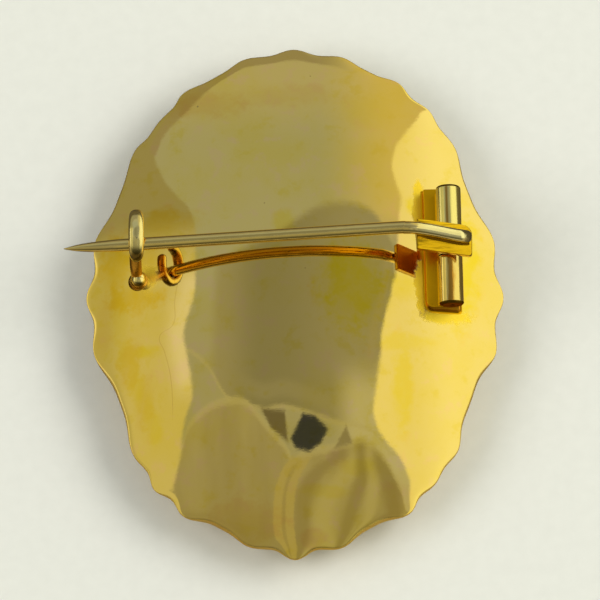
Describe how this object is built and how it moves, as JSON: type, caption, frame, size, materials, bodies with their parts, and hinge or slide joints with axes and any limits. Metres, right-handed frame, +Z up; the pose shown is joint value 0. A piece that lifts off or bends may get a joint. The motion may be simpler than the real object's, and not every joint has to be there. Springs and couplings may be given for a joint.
{
  "type": "brooch",
  "caption": "Scalloped oval brooch with a domed, polished back, a long pin stem on a tube hinge and an open hook catch, lying on its front.",
  "frame": {"origin": "middle of the flat face of the front, which the brooch lies on", "axes": "+Z up through the domed back; +Y along the length of the oval, towards the end that the pin stem is nearer to; +X towards the hinge"},
  "size_m": [0.0379, 0.0454, 0.0126],
  "materials": {
    "case_gold": "mirror polished yellow gold",
    "fitting_gold": "polished yellow gold",
    "stem_gold": "polished pale gold wire"
  },
  "bodies": {
    "brooch": {"front_shell": "case_gold", "back_shell": "case_gold", "hinge_base": "fitting_gold", "hinge_rivet": "fitting_gold", "catch": "fitting_gold"},
    "pin": {"pin_knuckle": "fitting_gold", "pin_stem": "stem_gold"}
  },
  "joints": [
    {"name": "pin_hinge", "type": "hinge", "parent": "brooch", "child": "pin", "pos_m": [0.0133, 0.0039, 0.00886], "axis": [-0.0279, 0.9996, 0], "range_deg": [0, 105], "deforming": ["pin_stem"]}
  ]
}
